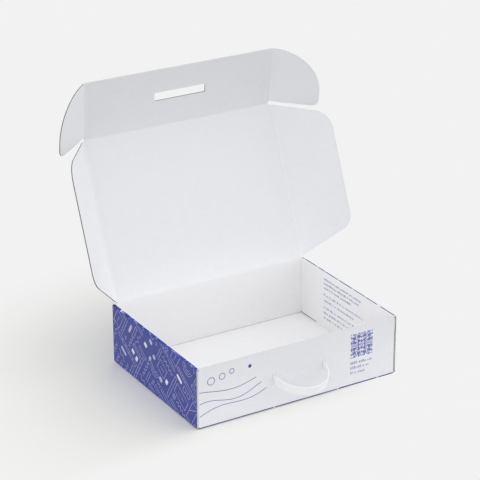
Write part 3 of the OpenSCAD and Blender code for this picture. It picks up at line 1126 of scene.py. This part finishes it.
def makeSlits():
    # a dark strip above the lower edge of each inner side panel, the raw board with painted shade of the gap
    # under it, and the liner that the punch pressed over each slot's edge
    shadedSlits, lips = newSheet(), newSheet()
    low = board["thick"] + tray["lifted"]
    spans = tabSpans()
    for side in (-1, 1):
        for y0, y1 in ((-rollHalf, spans[0][0]), (spans[0][1], spans[1][0]), (spans[1][1], rollHalf)):
            addInked(shadedSlits, innerPanels[side], low, y0, low + tray["shadedStrip"], y1)
    for hole in endOutlines(True)[1:]:
        addStroke(lips, frontPanel, hole, True, 2 * board["lipProud"],
                  (board["lipInset"] - half, half - board["lipInset"]))
    makePieces("tray", {"panel_slit_shade": (shadedSlits, slitShade), "slot_lips": (lips, whiteOutside)})


def makeWaves(blue):
    # rolling lines from the box's left edge, with a row of open rings along the top one
    left = frontPrint["waveLeft"] - wallHalf
    step = frontPrint["waveStep"]
    for level, swing, long, slope, phase, stop in frontPrint["waves"]:
        away = [step * k for k in range(math.ceil((stop - left) / step))]
        points = [Vector((left + x, level + slope * x + swing * math.sin(x / long + phase))) for x in away]
        addStroke(blue, frontPanel, points, False, frontPrint["line"], inkFilm)
    for x, z, radius in frontPrint["rings"]:
        addStroke(blue, frontPanel, circleAround(x, z, radius, 28), True, frontPrint["line"], inkFilm)
    addSlab(blue, frontPanel, [circleAround(*frontPrint["dot"], 24)], inkFilm)


def makeTile(tile):
    # a regular ornament of small squares, mirrored about its middle
    cells = frontPrint["tileCells"]
    pitch = frontPrint["tile"] / cells
    wide = pitch * frontPrint["tileFill"]
    for i in range(cells):
        for j in range(cells):
            a = abs(i - cells // 2)
            b = abs(j - cells // 2)
            if (a * b + a + b) % 4 != 1 and (2 * a + 3 * b) % 7 != 3:
                u = frontPrint["tileAt"][0] + (i - cells / 2) * pitch
                v = frontPrint["tileAt"][1] + (j - cells / 2) * pitch
                addInked(tile, frontPanel, u, v, u + wide, v + wide)


def addBars(sheet, panel, start, level, long, rows, alongU, pick):
    # a row of plain bars of uneven length and height
    at = start
    while at < start + long:
        bar = min(pick.uniform(*frontPrint[rows + "Bar"]), start + long - at)
        high = level + frontPrint[rows + "Tall"] * pick.uniform(*frontPrint["rise"])
        if bar > frontPrint["shortest"]:
            corners = (at, level, at + bar, high) if alongU else (level, at, high, at + bar)
            addInked(sheet, panel, *corners)
        at += bar + pick.choice(frontPrint[rows + "Gaps"])


def makeFrontPrint():
    blue, tile, small = (newSheet() for _ in range(3))
    makeWaves(blue)
    makeTile(tile)
    pick = random.Random(frontPrint["seed"])
    for level, long in frontPrint["frontRows"]:
        addBars(small, frontPanel, frontPrint["frontLeft"], level, long, "front", True, pick)
    for level, long in frontPrint["insideRows"]:
        start = frontPrint["insideEnd"] - long
        addBars(small, innerPanels[1], start, level, long, "inside", False, pick)
    makePieces("tray", {"front_print": (blue, fineInk), "tile_print": (tile, tileInk),
                        "small_print": (small, paleInk)})


def makeEnds():
    # the side walls' raw front ends: painted pale as if lit on the left; on the right, painted shade on the
    # outer part and in the slit where the front wall stands off it
    pale, dark = newSheet(), newSheet()
    near, far = tray["endSlit"]
    low, high = tray["endLip"]
    top = topZ - foldOut
    addInked(pale, frontPanel, -halfW, foldOut, tray["endPale"] - halfW, top)
    above = (inkFilm[0] - tray["endFilm"], inkFilm[1])
    addInked(dark, frontPanel, halfW - tray["endShade"], foldOut, halfW, top, above)
    addInked(dark, frontPanel, halfW - near, low, halfW - far, high, above)
    makePieces("tray", {"left_end_painted_light": (pale, litCut), "right_end_painted_shade": (dark, shadedCut)})


makeSlits()
makeEnds()
makeFrontPrint()
print("print laid down")


# Floor, light and camera

studio = {
    "floorColour": "#f2f2f2",
    "floorReach": 9,
    "floorDrop": 0.0001,               # the floor lies just under the print on the box's underside
    "lights": [                        # direction, how narrow and how strong; each fades out sideways
        ((1, 0, 0), 1, 1.552),
        ((-1, 0, 0), 1, 1.136),
        ((0, -1, 0), 1, 0.554),
        ((0, 1, 0), 1, 0.345),
        ((0, 0, 1), 16, 1.672),
        ((-0.55, -0.3, 0.78), 8, 0.273),
    ],
    "paperSeen": (0.45, 0.75),         # how far off the backdrop stops sending light back to the box
    "shadeColour": "#f2f2ee",          # a little warm, so that the blue wall's shade on it looks neutral
    # where the shadow on the floor is lost: to the right, in front and far away
    "shadowEnds": [(0, 0.15), (-0.105, -0.165), (0.26, 0.5)],
}
camera = {
    "at": (-1.2938, -2.1286, 1.2590),
    "right": (0.85750, -0.51447, -0.00380),
    "up": (0.20488, 0.33470, 0.91978),
    "lens": 147.43,
    "sensor": 36,
}


def makeFloor():
    material = bpy.data.materials.new("seamless paper backdrop")
    tree = emptyTree(material)
    paper = addNode(tree, "BsdfDiffuse", None, {"Color": linear(studio["floorColour"])})
    white = addNode(tree, "Emission", None, {"Color": linear(studio["floorColour"])})
    place = addNode(tree, "TexCoord").outputs["Object"]
    split = addNode(tree, "SeparateXYZ", links={0: place})
    away = addNode(tree, "VectorMath", {"operation": "LENGTH"}, links={0: place}).outputs["Value"]
    right, back = split.outputs[0], split.outputs[1]
    measures = zip((right, back, away, away), studio["shadowEnds"] + [studio["paperSeen"]])
    toRight, toFront, faraway, gone = [
        addNode(tree, "MapRange", {"interpolation_type": "SMOOTHSTEP"}, {"From Min": near, "From Max": far},
                {"Value": measure}).outputs[0] for measure, (near, far) in measures]
    lost = toRight
    for ramp in (toFront, faraway):
        lost = addNode(tree, "Math", {"operation": "MAXIMUM"}, None, {0: lost, 1: ramp}).outputs[0]
    shade = addNode(tree, "BsdfDiffuse", None, {"Color": linear(studio["shadeColour"])})
    dark = addNode(tree, "Emission", None, {"Strength": 0})
    bounced = addNode(tree, "MixShader", links={0: gone, 1: paper.outputs[0], 2: dark.outputs[0]})
    lit = addNode(tree, "MixShader", links={0: lost, 1: shade.outputs[0], 2: white.outputs[0]})
    seen = addNode(tree, "LightPath").outputs["Is Camera Ray"]
    mix = addNode(tree, "MixShader", links={0: seen, 1: bounced.outputs[0], 2: lit.outputs[0]})
    addNode(tree, "OutputMaterial", links={"Surface": mix.outputs[0]})
    reach = studio["floorReach"]
    mesh = bpy.data.meshes.new("floor")
    corners = [(-reach, -reach, 0), (reach, -reach, 0), (reach, reach, 0), (-reach, reach, 0)]
    mesh.from_pydata(corners, [], [(0, 1, 2, 3)])
    floor = bpy.data.objects.new("floor", mesh)
    floor.location.z = -studio["floorDrop"]
    mesh.materials.append(material)
    bpy.context.scene.collection.objects.link(floor)


def makeLights():
    world = bpy.data.worlds.new("studio")
    bpy.context.scene.world = world
    tree = emptyTree(world)
    aim = addNode(tree, "TexCoord").outputs["Generated"]
    total = None
    for direction, narrow, strength in studio["lights"]:
        facing = addNode(tree, "VectorMath", {"operation": "DOT_PRODUCT"}, {1: direction}, {0: aim})
        front = addNode(tree, "Math", {"operation": "MAXIMUM"}, {1: 0}, {0: facing.outputs["Value"]})
        glow = addNode(tree, "Math", {"operation": "POWER"}, {1: narrow}, {0: front.outputs[0]})
        links = {0: glow.outputs[0]}
        if total:
            links[2] = total
        total = addNode(tree, "Math", {"operation": "MULTIPLY_ADD"}, {1: strength, 2: 0}, links).outputs[0]
    room = addNode(tree, "Background", None, {"Color": (1, 1, 1, 1)}, {"Strength": total})
    seen = addNode(tree, "Background", None, {"Color": linear(studio["floorColour"]), "Strength": 1})
    ray = addNode(tree, "LightPath").outputs["Is Camera Ray"]
    mix = addNode(tree, "MixShader", links={0: ray, 1: room.outputs[0], 2: seen.outputs[0]})
    addNode(tree, "OutputWorld", links={0: mix.outputs[0]})


def makeCamera():
    data = bpy.data.cameras.new("camera")
    data.lens = camera["lens"]
    data.sensor_width = camera["sensor"]
    view = bpy.data.objects.new("camera", data)
    right, up = Vector(camera["right"]), Vector(camera["up"])
    turn = Matrix((right, up, right.cross(up))).transposed()
    view.matrix_world = Matrix.Translation(camera["at"]) @ turn.to_4x4()
    bpy.context.scene.collection.objects.link(view)
    bpy.context.scene.camera = view


makeFloor()
makeLights()
makeCamera()
bpy.context.scene.view_settings.view_transform = "Standard"
